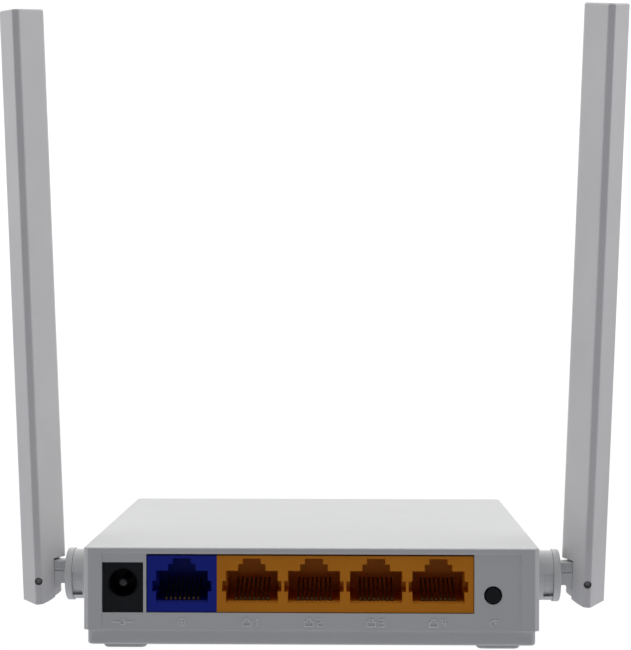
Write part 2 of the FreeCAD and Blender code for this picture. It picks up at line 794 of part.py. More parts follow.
# ---------------------------------------------------------- network sockets
def plug_space(port_x):
    """Hollow that takes one plug, with the latch steps and side notches."""
    y0, y1 = jack_front - 1, jack_front + cavity_depth
    floor = board_top + plug_floor
    roof = floor + plug_height
    step = roof + latch_wide_height
    spaces = [
        box(port_x - plug_width / 2, port_x + plug_width / 2, y0, y1, floor, roof),
        box(port_x - latch_wide / 2, port_x + latch_wide / 2, y0, y1, floor, step),
        box(port_x - latch_narrow / 2, port_x + latch_narrow / 2, y0, y1, floor,
            step + latch_narrow_height),
        box(port_x - notch_width / 2, port_x + notch_width / 2, y0, jack_front + notch_depth,
            board_top + notch_low, board_top + notch_high),
    ]
    lead_in = prism([(port_x - plug_width / 2, jack_front - 0.1, floor - plug_lead_in),
                     (port_x - plug_width / 2, jack_front + plug_lead_in, floor + 0.01),
                     (port_x - plug_width / 2, jack_front - 0.1, floor + 0.01)],
                    (plug_width, 0, 0))
    return join(spaces + [lead_in])


def contact_grooves(port_x):
    """Grooves under and through the socket floor, one for each contact."""
    cuts = []
    for k in range(contact_count):
        x0 = contact_x(port_x, k) - contact_slot / 2
        x1 = x0 + contact_slot
        cuts.append(box(x0, x1, jack_front + 0.8, contact_row_y(k) + 0.5,
                        board_top - 1, board_top + 1.65))
        cuts.append(box(x0, x1, jack_front + 0.8, jack_front + 2.6,
                        board_top - 1, board_top + plug_floor + 0.1))
    return cuts


def socket_housing(first_x, ports, pegs):
    """Moulded housing for one socket or for a row of them."""
    last_x = first_x + (ports - 1) * port_pitch
    block = box(first_x - socket_side / 2, last_x + socket_side / 2, jack_front,
                jack_front + socket_length, board_top, board_top + socket_height)
    cuts = []
    for k in range(ports):
        x = first_x + k * port_pitch
        cuts.append(plug_space(x))
        cuts += contact_grooves(x)
    block = block.cut(cuts)
    stubs = [rod(peg_radius, (x, y, board_bottom - 0.3), (x, y, board_top + 0.2))
             for x, y in pegs]
    return join([block] + stubs)


def socket_contacts(port_x):
    """Eight bent spring contacts of one socket."""
    made = []
    run = board_top + 1.0
    nose = jack_front + 1.3
    for k in range(contact_count):
        path = [(contact_row_y(k), board_bottom - pin_stickout), (contact_row_y(k), run),
                (nose, run), (nose, board_top + plug_floor + 0.5),
                (nose + 8.6, board_top + plug_floor + 3.7)]
        made.append(strip(path, contact_thick, contact_x(port_x, k), contact_width))
    return made


# -------------------------------------------------------------- reset button
def reset_switch():
    """Push switch on the board, bored for its stem."""
    front = -half_d + switch_setback
    half = switch_width / 2
    body = box(button_x - half, button_x + half, front, front + switch_length,
               board_top, board_top + switch_height)
    bore = rod(button_radius + 0.06, (button_x, front - 1, button_z),
               (button_x, front + switch_bore_depth, button_z))
    return body.cut(bore)


def reset_switch_frame():
    """Folded metal frame over the front, top and back of the switch."""
    front = -half_d + switch_setback
    half = switch_width / 2
    outer = box(button_x - half, button_x + half, front - frame_thick,
                front + switch_length + frame_thick, board_top,
                board_top + switch_height + frame_thick)
    room = box(button_x - half - 1, button_x + half + 1, front, front + switch_length,
               board_top - 1, board_top + switch_height)
    hole = rod(button_radius + 0.15, (button_x, front - 1, button_z),
               (button_x, front + 1, button_z))
    return outer.cut([room, hole])


def reset_button():
    """Black stem that shows in the round hole."""
    front = -half_d + switch_setback
    tip = -half_d
    stem = rod(button_radius, (button_x, tip, button_z),
               (button_x, front + stem_in_switch, button_z))
    nose = [e for e in stem.Edges if abs(e.BoundBox.YMax - tip) < 1e-6]
    return stem.makeFillet(0.3, nose)


# ----------------------------------------------------------- indicator lights
def light_x(k):
    """Middle of indicator k."""
    return (k - (light_count - 1) / 2) * light_pitch


def indicator_leds():
    """Light sources on the board's front edge."""
    sx, sy, sz = led_size
    return [box(light_x(k) - sx / 2, light_x(k) + sx / 2, led_y - sy / 2, led_y + sy / 2,
                board_top, board_top + sz) for k in range(light_count)]


def light_guide():
    """Clear moulding with one arm for each light, joined by a bar."""
    low, high = light_height - light_arm / 2, light_height + light_arm / 2
    rear, front = led_y - light_arm / 2, led_y + light_arm / 2
    arms = []
    for k in range(light_count):
        x0 = light_x(k) - light_arm / 2
        side = [(x0, rear, board_top + led_size[2] + 0.3), (x0, front, board_top + led_size[2] + 0.3),
                (x0, front, low), (x0, inner_d - 1.5, low), (x0, inner_d - 1.5, high),
                (x0, front, high), (x0, rear, low)]
        arms.append(prism(side, (light_arm, 0, 0)))
        arms.append(rod(light_radius, (light_x(k), inner_d - 2, light_height),
                        (light_x(k), half_d, light_height)))
    reach = light_x(light_count - 1) + light_arm / 2
    bar = box(-reach, reach, inner_d - 1.5 - light_bar_depth, inner_d - 1.5, low, high)
    return join([bar] + arms)


# ------------------------------------------------------ antenna swivel, right side
def elbow_route():
    """Path of the aerial lead along the barrel and up out of the neck."""
    return [(barrel_in, swivel_y, swivel_height), (lead_x - 2.4, swivel_y, swivel_height),
            (lead_x - 0.35, swivel_y, swivel_height + 1.1),
            (lead_x, swivel_y, swivel_height + neck_above)]


def antenna_socket():
    """Fixed socket: plate inside the wall, waist in its slot, knob outside."""
    def bar(radius, x0, x1):
        return rod(radius, (x0, swivel_y, swivel_height), (x1, swivel_y, swivel_height))

    outer_face = half_w + part_gap
    plate = box(plate_in, inner_w - part_gap, swivel_y - socket_plate_width / 2,
                swivel_y + socket_plate_width / 2, swivel_height - socket_plate_height / 2,
                swivel_height + socket_plate_height / 2)
    waist = bar(groove_radius, plate_in, outer_face + 0.1)
    knob = bar(knob_radius, outer_face, knob_end)
    relief_start = outer_face + relief_rim
    window = box(relief_start, knob_end + 1, swivel_y - knob_radius - 1, swivel_y,
                  swivel_height - relief_low, swivel_height + relief_top)
    relief = window.cut(bar(knob_radius - relief_depth, relief_start - 1, knob_end + 2))
    bore = bar(barrel_radius + barrel_gap, plate_in - 1, knob_end + 1)
    return join([plate, waist, knob]).cut([relief, bore])


def antenna_elbow():
    """Turning piece: lipped barrel, flange, and the neck that carries the hinge pin."""
    def bar(radius, x0, x1):
        return rod(radius, (x0, swivel_y, swivel_height), (x1, swivel_y, swivel_height))

    barrel = bar(barrel_radius, barrel_in, flange_in + 0.1)
    lip = bar(barrel_radius + barrel_lip, barrel_in, barrel_in + barrel_lip_length)
    rim = [e for e in lip.Edges if abs(e.BoundBox.XMax - barrel_in) < 1e-6]
    lip = lip.makeChamfer(barrel_lip, rim)
    flange = bar(flange_radius, flange_in, flange_out)
    rim = [e for e in flange.Edges if abs(e.BoundBox.XMin - flange_out) < 1e-6]
    flange = flange.makeFillet(flange_edge, rim)
    half = neck_thick / 2
    neck = box(flange_out - 0.1, pin_x + 1.0, swivel_y - half, swivel_y + half,
               swivel_height - neck_below, swivel_height + neck_above)
    end = [e for e in neck.Edges
           if e.BoundBox.XMin > pin_x and abs(e.tangentAt(e.FirstParameter).y) > 0.99]
    neck = neck.makeFillet(1.5, end)
    knuckle = rod(knuckle_radius, (pin_x, swivel_y - half, pin_z), (pin_x, swivel_y + half, pin_z))
    rear, low = swivel_y - half, pin_z - knuckle_radius
    heel_in = pin_x - heel_reach
    heel = prism([(pin_x, rear, pin_z), (heel_in, rear, pin_z),
                  (heel_in, rear, low + heel_chamfer), (heel_in + heel_chamfer, rear, low),
                  (pin_x, rear, low)], (0, neck_thick, 0))
    body = join([barrel, lip, flange, neck, knuckle, heel])
    pin_hole = rod(pin_radius + pin_hole_gap, (pin_x, swivel_y - 9, pin_z),
                   (pin_x, swivel_y + 9, pin_z))
    cable_way = tube_path(elbow_route(), cable_bore)
    snap_slot = box(barrel_in - 1, plate_in + 2.5, swivel_y - 0.5, swivel_y + 0.5,
                    swivel_height - 9, swivel_height + 9)
    groove = box(flange_out + 0.3, pin_x - 1, swivel_y - half - 1, swivel_y - half + 0.25,
                 swivel_height + 0.85, swivel_height + 1.3)
    ticks = [box(x, x + 0.18, swivel_y - half - 1, swivel_y - half + 0.12,
                 swivel_height + 1.6, swivel_height + neck_above - 0.3)
             for x in (flange_out + 0.55 + 0.5 * k for k in range(6))]
    return body.cut([pin_hole, cable_way, snap_slot, groove] + ticks)


# -------------------------------------------------------- antenna blade, right side
def blade_outline(shrink):
    """Ridge and face corners of the blade's section, drawn in by shrink."""
    run = blade_half_width - blade_ridge_flat / 2
    rise = blade_ridge + blade_face
    flank = math.hypot(run, rise)
    side_in = shrink * flank / rise
    ridge_y = swivel_y - blade_ridge + shrink
    face_y = swivel_y + blade_face
    ridge_half = blade_ridge_flat / 2 + shrink * run / rise - side_in
    face_half = blade_half_width - side_in
    return max(ridge_half, 0.05), ridge_y, face_half, face_y


def blade_bar(z0, z1, shrink=0.0):
    """Upright three-sided bar."""
    ridge_half, ridge_y, face_half, face_y = blade_outline(shrink)
    corners = [(pin_x - ridge_half, ridge_y, z0), (pin_x + ridge_half, ridge_y, z0),
               (pin_x + face_half, face_y, z0), (pin_x - face_half, face_y, z0)]
    return prism(corners, (0, 0, z1 - z0))


def blade_body():
    """Solid blade: rounded corners, sloping top, rounded inner heel, room for the neck."""
    bar = blade_bar(blade_low, blade_high)
    upright = [e for e in bar.Edges if abs(e.tangentAt(e.FirstParameter).z) > 0.99
               and e.BoundBox.YMin > swivel_y]
    bar = bar.makeFillet(blade_corner, upright)
    ridge = [e for e in bar.Edges if abs(e.tangentAt(e.FirstParameter).z) > 0.99
             and e.BoundBox.YMax < swivel_y - blade_ridge + 0.01]
    bar = bar.makeFillet(blade_ridge_round, ridge)
    rear, front = swivel_y - blade_ridge - 1, swivel_y + blade_face
    fall = blade_top_slope * (front - rear) / (blade_ridge + blade_face)
    x0, x1 = pin_x - 9, pin_x + 9
    cap = prism([(x0, front + 1, blade_high + 1), (x0, front, blade_high),
                 (x0, rear, blade_high - fall), (x0, rear, blade_high + 1)],
                (x1 - x0, 0, 0))
    corner = box(x0, pin_x, rear, front + 1, blade_low - 1, pin_z)
    heel = corner.cut(rod(heel_radius, (pin_x, rear - 1, pin_z), (pin_x, front + 2, pin_z)))
    clearance = box(pin_x - 2 * blade_half_width, pin_x - fork_reach, rear, front + 1,
                    blade_low - 1, pin_z + fork_top)
    body = bar.cut([cap, heel, clearance])
    rim = [e for e in body.Edges if e.BoundBox.ZMin > blade_high - fall - 0.1]
    return body.makeChamfer(blade_edge, rim)


def blade_split(front):
    """Half space in front of, or behind, the plane where the face cover begins."""
    y0, y1 = (face_split, face_split + 20) if front else (face_split - 20, face_split)
    return box(pin_x - 20, pin_x + 20, y0, y1, blade_low - 5, blade_high + 5)


def blade_pin_hole(y_end, gap):
    """Cutter for the hinge pin, from behind the ridge to y_end."""
    return rod(pin_radius + gap, (pin_x, swivel_y - blade_ridge - 1, pin_z),
               (pin_x, y_end, pin_z))


def antenna_blade():
    """Rear shell of the blade, with the fork, the pin hole and the hollow for the aerial."""
    shell = blade_body().common(blade_split(False))
    hollow = blade_bar(pin_z + channel_bottom, blade_high - channel_top_wall - 1, blade_wall)
    fork = box(pin_x - 9, pin_x + fork_outer, swivel_y - fork_slot, swivel_y + fork_slot + 1,
               blade_low - 1, pin_z + fork_top)
    lead_hole = rod(cable_bore, (lead_x, swivel_y, pin_z), (lead_x, swivel_y, pin_z + 12))
    return shell.cut([hollow, fork, lead_hole, blade_pin_hole(face_split + 1, 0.0)])


def antenna_face_cover():
    """Flat cover that closes the blade and carries the far end of the pin."""
    cover = blade_body().common(blade_split(True))
    return cover.cut(blade_pin_hole(face_split + pin_in_cover, 0.0))


def antenna_hinge_pin():
    """Steel pin, its end just below the ridge."""
    return rod(pin_radius, (pin_x, swivel_y - blade_ridge + 0.3, pin_z),
               (pin_x, face_split + pin_in_cover, pin_z))


def antenna_board():
    """Narrow aerial board behind the face cover."""
    front = face_split - part_gap
    half = antenna_board_width / 2
    low = pin_z + antenna_board_low
    return box(pin_x - half, pin_x + half, front - antenna_board_thick, front,
               low, low + antenna_board_length)


def antenna_dipole():
    """Copper arms on the rear of the aerial board, above and below the feed point."""
    front = face_split - part_gap - antenna_board_thick
    half = dipole_width / 2
    feed = pin_z + lead_top
    arms = []
    for low in (feed - dipole_split / 2 - dipole_length, feed + dipole_split / 2):
        arms.append(box(pin_x - half, pin_x + half, front - dipole_thick, front,
                        low, low + dipole_length))
    return arms


def lead_in_blade():
    """Aerial lead from the fork up to the feed point."""
    return rod(cable_radius, (lead_x, swivel_y, pin_z + fork_top + part_gap),
               (lead_x, swivel_y, pin_z + lead_top))


def lead_in_elbow():
    """Aerial lead along the barrel and up through the neck."""
    return tube_path(elbow_route(), cable_radius)


def lead_in_case():
    """Aerial lead from the plug on the board to the swivel."""
    z = board_top + lead_plug_height / 2
    return tube_path([(barrel_in - part_gap, swivel_y, swivel_height),
                      (lead_bend_x, swivel_y, swivel_height),
                      (lead_bend_x - 2.5, swivel_y + 1.5, z),
                      (lead_plug_x, swivel_y + lead_plug_forward, z)], cable_radius)


def lead_plugs():
    """Small coaxial plugs where the leads meet the board."""
    plug = rod(lead_plug_radius, (lead_plug_x, swivel_y + lead_plug_forward, board_top),
               (lead_plug_x, swivel_y + lead_plug_forward, board_top + lead_plug_height))
    return side_copies(plug.cut(lead_in_case()))


# ----------------------------------------------------------------- the assembly
def swung(shape, turn_deg):
    """Piece of the right antenna turned about the swivel axis."""
    copy = shape.copy()
    copy.rotate(Vector(0, swivel_y, swivel_height), X_AXIS, turn_deg)
    return copy


def leaned(shape, lean_deg):
    """Piece of the blade leaned out about the hinge pin."""
    copy = shape.copy()
    copy.rotate(Vector(pin_x, 0, pin_z), Y_AXIS, lean_deg)
    return copy


def antenna_pieces(side, turn_deg, lean_deg):
    """Named pieces of one antenna: side is 1 for +X and -1 for -X."""
    name = "right" if side > 0 else "left"
    fixed = {"antenna_socket": [antenna_socket()], "coax_lead_in_case": [lead_in_case()]}
    turning = {"antenna_elbow": [antenna_elbow()], "coax_lead_in_elbow": [lead_in_elbow()]}
    folding = {"antenna_blade": [antenna_blade()], "antenna_face_cover": [antenna_face_cover()],
               "antenna_hinge_pin": [antenna_hinge_pin()], "antenna_board": [antenna_board()],
               "antenna_dipole": antenna_dipole(), "coax_lead_in_antenna": [lead_in_blade()]}
    placed = dict(fixed)
    placed.update({k: [swung(s, turn_deg) for s in v] for k, v in turning.items()})
    placed.update({k: [swung(leaned(s, lean_deg), turn_deg) for s in v] for k, v in folding.items()})
    if side < 0:
        placed = {k: [s.mirror(Vector(0, 0, 0), X_AXIS) for s in v] for k, v in placed.items()}
    return {name + "_" + k: v for k, v in placed.items()}


def all_pieces():
    """Every named piece, as a list of its solids."""
    pieces = {
        "top_cover": [top_cover()],
        "bottom_cover": [base_shell()],
        "rubber_feet": feet(),
        "rating_label": rating_label(),
        "case_screws": case_screws(),
        "board_screws": board_screws(),
        "main_board": [main_board()],
        "power_inlet_housing": [inlet_housing()],
        "power_inlet_pin": [inlet_pin()],
        "power_inlet_spring_contact": [inlet_leaf()],
        "wan_socket_housing": [socket_housing(wan_x, 1, peg_places()[:2])],
        "wan_socket_contacts": socket_contacts(wan_x),
        "lan_socket_housing": [socket_housing(lan_first_x, lan_ports, peg_places()[2:])],
        "reset_switch": [reset_switch()],
        "reset_switch_frame": [reset_switch_frame()],
        "reset_button": [reset_button()],
        "indicator_leds": indicator_leds(),
        "light_guide": [light_guide()],
        "processor_chip": [chip(*processor_place)],
        "memory_chip": [chip(*memory_place)],
        "flash_chip": [chip(*flash_place)],
        "radio_chip": [chip(*radio_place)],
        "radio_shield": [radio_shield()],
        "line_transformers": line_transformers(),
        "smoothing_capacitors": smoothing_capacitors(),
        "power_inductor": [chip(*inductor_place)],
        "crystal": [crystal()],
        "coax_plugs": lead_plugs(),
    }
    for k in range(lan_ports):
        pieces["lan_socket_%d_contacts" % (k + 1)] = socket_contacts(
            lan_first_x + k * port_pitch)
    pieces.update(antenna_pieces(1, right_swivel_deg, right_lean_deg))
    pieces.update(antenna_pieces(-1, left_swivel_deg, left_lean_deg))
    return pieces


def write_pieces(folder):
    """Write each piece to its own file, with its bounds and volume listed."""
    os.makedirs(folder, exist_ok=True)
    for name, solids in sorted(all_pieces().items()):
        shape = solids[0] if len(solids) == 1 else Part.makeCompound(solids)
        count = len(shape.Solids)
        if count != len(solids) or not shape.isValid():
            print("CHECK", name, "solids", count, "expected", len(solids), shape.isValid())
        b = shape.BoundBox
        print(name, count, "volume %.1f" % shape.Volume,
              "x %.2f %.2f y %.2f %.2f z %.2f %.2f" % (b.XMin, b.XMax, b.YMin, b.YMax,
                                                       b.ZMin, b.ZMax))
        shape.exportStep("%s/%s.step" % (folder, name))


write_pieces("parts")
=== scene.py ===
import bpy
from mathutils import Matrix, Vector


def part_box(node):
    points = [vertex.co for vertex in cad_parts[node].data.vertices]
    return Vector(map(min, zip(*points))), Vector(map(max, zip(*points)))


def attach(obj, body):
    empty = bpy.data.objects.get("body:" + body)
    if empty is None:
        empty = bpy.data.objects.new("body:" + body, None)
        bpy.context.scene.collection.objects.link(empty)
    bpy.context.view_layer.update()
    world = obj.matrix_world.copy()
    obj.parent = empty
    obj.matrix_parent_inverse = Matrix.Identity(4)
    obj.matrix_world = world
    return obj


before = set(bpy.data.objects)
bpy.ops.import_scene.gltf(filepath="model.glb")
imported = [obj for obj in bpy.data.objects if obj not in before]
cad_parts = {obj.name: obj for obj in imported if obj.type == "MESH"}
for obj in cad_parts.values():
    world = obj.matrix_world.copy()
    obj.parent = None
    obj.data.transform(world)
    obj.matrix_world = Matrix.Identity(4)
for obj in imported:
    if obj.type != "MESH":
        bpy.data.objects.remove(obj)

"""Looks of a two-antenna desktop router: its finishes, fine parts, light and camera.

Lengths are in metres unless a name ends in _mm. The connector panel faces -Y.
"""

import logging
import math
from dataclasses import dataclass, field
from enum import Enum
from typing import Dict, Iterable, List, Sequence, Tuple

import bmesh
import bpy
from mathutils import Matrix, Vector

LOG = logging.getLogger("router")
MM = 0.001
Colour = Tuple[float, float, float]
Point = Tuple[float, float, float]


class Side(Enum):
    """Which antenna a class dresses."""

    LEFT = "left"
    RIGHT = "right"


class Grain(Enum):
    """Depth of the moulded texture on a plastic face, in metres."""

    POLISHED = 0.000002
    SATIN = 0.000008
    SPARK = 0.000020


# ------------------------------------------------------------------ finishes
class NodeSheet:
    """A material's node tree, filled one node at a time."""

    NOISE_LOW = 0.3
    NOISE_HIGH = 0.7
    EDGE_SAMPLES = 4

    def __init__(self, name: str) -> None:
        """Starts an empty material with one shader.

        Args:
            name: name of the material.
        """
        self.material = bpy.data.materials.new(name)
        self.material.use_nodes = True
        self.tree = self.material.node_tree
        self.shader = self.tree.nodes["Principled BSDF"]
        self.place = self.add("ShaderNodeTexCoord").outputs["Object"]

    def add(self, kind: str, **settings: object) -> bpy.types.Node:
        """Adds a node.

        Args:
            kind: type of the node.
            settings: properties of the node.

        Returns:
            The new node.
        """
        node = self.tree.nodes.new(kind)
        for key, value in settings.items():
            setattr(node, key, value)
        return node

    def link(self, source: bpy.types.NodeSocket, target: bpy.types.NodeSocket) -> None:
        """Joins an output to an input."""
        self.tree.links.new(source, target)

    def noise(self, size: float, detail: float = 3.0,
              stretch: Point = (1, 1, 1)) -> bpy.types.NodeSocket:
        """Adds soft noise.

        Args:
            size: width of its blotches.
            detail: number of finer layers.
            stretch: scale along each axis, for drawn or brushed grain.

        Returns:
            The noise's factor.
        """
        mapping = self.add("ShaderNodeMapping")
        mapping.inputs["Scale"].default_value = stretch
        self.link(self.place, mapping.inputs["Vector"])
        noise = self.add("ShaderNodeTexNoise")
        noise.inputs["Scale"].default_value = 1.0 / size
        noise.inputs["Detail"].default_value = detail
        self.link(mapping.outputs["Vector"], noise.inputs["Vector"])
        return noise.outputs["Fac"]

    def spread(self, factor: bpy.types.NodeSocket, low: float,
               high: float) -> bpy.types.NodeSocket:
        """Maps a noise's middle range onto low to high.

        Args:
            factor: the noise.
            low: value at its dark end.
            high: value at its bright end.

        Returns:
            The mapped value.
        """
        node = self.add("ShaderNodeMapRange")
        node.inputs["From Min"].default_value = self.NOISE_LOW
        node.inputs["From Max"].default_value = self.NOISE_HIGH
        node.inputs["To Min"].default_value = low
        node.inputs["To Max"].default_value = high
        self.link(factor, node.inputs["Value"])
        return node.outputs["Result"]

    def blend(self, factor: bpy.types.NodeSocket, dark: Colour,
              light: Colour) -> bpy.types.NodeSocket:
        """Mixes two colours.

        Args:
            factor: 0 for the first colour, 1 for the second.
            dark: first colour.
            light: second colour.

        Returns:
            The mixed colour.
        """
        node = self.add("ShaderNodeMix", data_type="RGBA")
        ends = {"A": (*dark, 1.0), "B": (*light, 1.0)}
        for socket in node.inputs:
            if socket.type == "RGBA":
                socket.default_value = ends[socket.name]
        self.link(factor, node.inputs["Factor"])
        return [s for s in node.outputs if s.type == "RGBA"][0]

    def relief(self, height: bpy.types.NodeSocket, depth: float, edge: float) -> None:
        """Gives the surface a fine relief and softly rounded edges.

        Args:
            height: pattern of the relief.
            depth: its depth.
            edge: radius of the edges.
        """
        bump = self.add("ShaderNodeBump")
        bump.inputs["Strength"].default_value = 1.0
        bump.inputs["Distance"].default_value = depth
        self.link(height, bump.inputs["Height"])
        if edge > 0:
            rounding = self.add("ShaderNodeBevel", samples=self.EDGE_SAMPLES)
            rounding.inputs["Radius"].default_value = edge
            self.link(rounding.outputs["Normal"], bump.inputs["Normal"])
        self.link(bump.outputs["Normal"], self.shader.inputs["Normal"])


@dataclass(frozen=True)
class MouldedPlastic:
    """Injection-moulded plastic with a fine spark grain and slightly polished edges."""

    name: str
    colour: Colour
    roughness: float = 0.5
    grain: Grain = Grain.SATIN
    grain_size: float = 0.00025
    mottle: float = 0.01
    edge: float = 0.00012
    glow: float = 0.0
    shine: float = 0.4
    cloud_size: float = 0.012
    cloud_detail: float = 4.0
    lift: float = 0.001
    rough_swing: float = 0.05
    glow_reach: Point = (1.0, 0.6, 0.3)
    glow_depth: float = 0.0008

    def make(self) -> bpy.types.Material:
        """Builds the material.

        Returns:
            The finished material.
        """
        sheet = NodeSheet(self.name)
        shade = tuple(c * (1 - self.mottle) for c in self.colour)
        bright = tuple(min(1.0, c * (1 + self.mottle) + self.lift) for c in self.colour)
        cloud = sheet.noise(self.cloud_size, self.cloud_detail)
        body = sheet.blend(sheet.spread(cloud, 0.0, 1.0), shade, bright)
        sheet.link(self.tint(sheet, body), sheet.shader.inputs["Base Color"])
        fine = sheet.noise(self.grain_size, 2.0)
        rough = sheet.spread(fine, self.roughness - self.rough_swing,
                             self.roughness + self.rough_swing)
        sheet.link(rough, sheet.shader.inputs["Roughness"])
        sheet.relief(fine, self.grain.value, self.edge)
        if self.glow > 0:
            sheet.shader.inputs["Subsurface Weight"].default_value = self.glow
            sheet.shader.inputs["Subsurface Radius"].default_value = self.glow_reach
            sheet.shader.inputs["Subsurface Scale"].default_value = self.glow_depth
        sheet.shader.inputs["Specular IOR Level"].default_value = self.shine
        return sheet.material

    def tint(self, sheet: NodeSheet, body: bpy.types.NodeSocket) -> bpy.types.NodeSocket:
        """Leaves the colour as it is; a finish that paints a highlight changes it."""
        return body


@dataclass(frozen=True)
class MarkedPlastic(MouldedPlastic):
    """Case plastic whose raised signs, and the edges of their recess, are painted a little paler
    than the field behind them: a painted highlight for the light their raised edges catch.
    """

    # painted highlight: pale colour given to the signs in place of the light on their edges
    painted_sign_highlight: Colour = (0.86, 0.87, 0.88)
    sign_front: float = -47.96 * MM
    sign_back: float = -47.74 * MM

    def tint(self, sheet: NodeSheet, body: bpy.types.NodeSocket) -> bpy.types.NodeSocket:
        """Paints a pale highlight on what stands between the field and the rear plane.

        Args:
            sheet: the material.
            body: the plain colour.

        Returns:
            The colour with paler signs.
        """
        split = sheet.add("ShaderNodeSeparateXYZ")
        sheet.link(sheet.place, split.inputs[0])
        band = sheet.add("ShaderNodeMath", operation="COMPARE")
        band.inputs[1].default_value = (self.sign_front + self.sign_back) / 2
        band.inputs[2].default_value = (self.sign_back - self.sign_front) / 2
        sheet.link(split.outputs[1], band.inputs[0])
        # painted highlight: mixes the signs' band towards the pale colour
        mix = sheet.add("ShaderNodeMix", data_type="RGBA")
        first, second = [n for n in mix.inputs if n.type == "RGBA"]
        sheet.link(body, first)
        second.default_value = (*self.painted_sign_highlight, 1.0)
        sheet.link(band.outputs[0], mix.inputs["Factor"])
        return [n for n in mix.outputs if n.type == "RGBA"][0]


@dataclass(frozen=True)
class PinHead:
    """Hinge pin seen end on: a paler moulded middle in a dark shadow ring."""

    name: str
    middle: Point
    pale: Colour = (0.19, 0.18, 0.18)
    dark: Colour = (0.055, 0.05, 0.05)
    inner: float = 0.45 * MM
    outer: float = 0.7 * MM
    grain_size: float = 0.0002
    rough: Tuple[float, float] = (0.4, 0.55)
    edge: float = 0.00008

    def make(self) -> bpy.types.Material:
        """Builds the material.

        Returns:
            The finished material.
        """
        sheet = NodeSheet(self.name)
        split = sheet.add("ShaderNodeVectorMath", operation="SUBTRACT")
        split.inputs[1].default_value = self.middle
        sheet.link(sheet.place, split.inputs[0])
        flat = sheet.add("ShaderNodeVectorMath", operation="MULTIPLY")
        flat.inputs[1].default_value = (1.0, 0.0, 1.0)
        sheet.link(split.outputs["Vector"], flat.inputs[0])
        reach = sheet.add("ShaderNodeVectorMath", operation="LENGTH")
        sheet.link(flat.outputs["Vector"], reach.inputs[0])
        ring = sheet.add("ShaderNodeMapRange")
        ring.inputs["From Min"].default_value = self.inner
        ring.inputs["From Max"].default_value = self.outer
        sheet.link(reach.outputs["Value"], ring.inputs["Value"])
        sheet.link(sheet.blend(ring.outputs["Result"], self.pale, self.dark),
                   sheet.shader.inputs["Base Color"])
        fine = sheet.noise(self.grain_size, 2.0)
        sheet.link(sheet.spread(fine, *self.rough), sheet.shader.inputs["Roughness"])
        sheet.relief(fine, Grain.SATIN.value, self.edge)
        return sheet.material


@dataclass(frozen=True)
class PlatedMetal:
    """Plated or bare metal with faint drawn lines and dull spots."""

    name: str
    colour: Colour
    roughness: float = 0.28
    stretch: Point = (1.0, 0.08, 1.0)
    line_size: float = 0.0001
    line_depth: float = 0.000003
    spot_size: float = 0.0015
    dull_share: float = 0.72
    smoother: float = 0.08
    rougher: float = 0.12
    edge: float = 0.00005

    def make(self) -> bpy.types.Material:
        """Builds the material.

        Returns:
            The finished material.
        """
        sheet = NodeSheet(self.name)
        dull = tuple(c * self.dull_share for c in self.colour)
        spots = sheet.spread(sheet.noise(self.spot_size, 4.0), 0.0, 1.0)
        sheet.link(sheet.blend(spots, dull, self.colour), sheet.shader.inputs["Base Color"])
        lines = sheet.noise(self.line_size, 2.0, self.stretch)
        rough = sheet.spread(lines, self.roughness - self.smoother,
                             self.roughness + self.rougher)
        sheet.link(rough, sheet.shader.inputs["Roughness"])
        sheet.relief(lines, self.line_depth, self.edge)
        sheet.shader.inputs["Metallic"].default_value = 1.0
        return sheet.material


@dataclass(frozen=True)
class SolderMask:
    """Green laminate whose mask is a little lighter over the copper tracks."""

    name: str
    mask: Colour = (0.010, 0.085, 0.035)
    over_copper: Colour = (0.030, 0.175, 0.075)
    track_pitch: float = 0.0024
    track_gap: float = 0.07
    track_length: float = 2.6
    track_width: float = 0.42
    track_depth: float = 0.00003
    zone_size: float = 0.011
    zone_ends: Tuple[float, float] = (-0.6, 1.6)
    rough_size: float = 0.0006
    rough: Tuple[float, float] = (0.28, 0.4)

    def make(self) -> bpy.types.Material:
        """Builds the material.

        Returns:
            The finished material.
        """
        sheet = NodeSheet(self.name)
        bricks = sheet.add("ShaderNodeTexBrick")
        bricks.inputs["Scale"].default_value = 1.0 / self.track_pitch
        bricks.inputs["Mortar Size"].default_value = self.track_gap
        bricks.inputs["Brick Width"].default_value = self.track_length
        bricks.inputs["Row Height"].default_value = self.track_width
        sheet.link(sheet.place, bricks.inputs["Vector"])
        zones = sheet.spread(sheet.noise(self.zone_size, 2.0), *self.zone_ends)
        tracks = sheet.add("ShaderNodeMath", operation="MULTIPLY", use_clamp=True)
        sheet.link(bricks.outputs["Fac"], tracks.inputs[0])
        sheet.link(zones, tracks.inputs[1])
        sheet.link(sheet.blend(tracks.outputs[0], self.mask, self.over_copper),
                   sheet.shader.inputs["Base Color"])
        rough = sheet.spread(sheet.noise(self.rough_size), *self.rough)
        sheet.link(rough, sheet.shader.inputs["Roughness"])
        sheet.relief(tracks.outputs[0], self.track_depth, 0.0)
        return sheet.material


@dataclass(frozen=True)
class SoftRubber:
    """Matt elastomer with a dusty bloom."""

    name: str
    colour: Colour
    bloom_size: float = 0.0008
    bloom_gain: float = 1.12
    bloom_lift: float = 0.01
    rough_size: float = 0.0003
    rough: Tuple[float, float] = (0.72, 0.88)
    grain_size: float = 0.00015
    grain_depth: float = 0.00002
    edge: float = 0.00015
    sheen: float = 0.15

    def make(self) -> bpy.types.Material:
        """Builds the material.

        Returns:
            The finished material.
        """
        sheet = NodeSheet(self.name)
        bloom = sheet.spread(sheet.noise(self.bloom_size, 5.0), 0.0, 1.0)
        pale = tuple(min(1.0, c * self.bloom_gain + self.bloom_lift) for c in self.colour)
        sheet.link(sheet.blend(bloom, self.colour, pale), sheet.shader.inputs["Base Color"])
        rough = sheet.spread(sheet.noise(self.rough_size), *self.rough)
        sheet.link(rough, sheet.shader.inputs["Roughness"])
        sheet.relief(sheet.noise(self.grain_size), self.grain_depth, self.edge)
        sheet.shader.inputs["Sheen Weight"].default_value = self.sheen
        return sheet.material


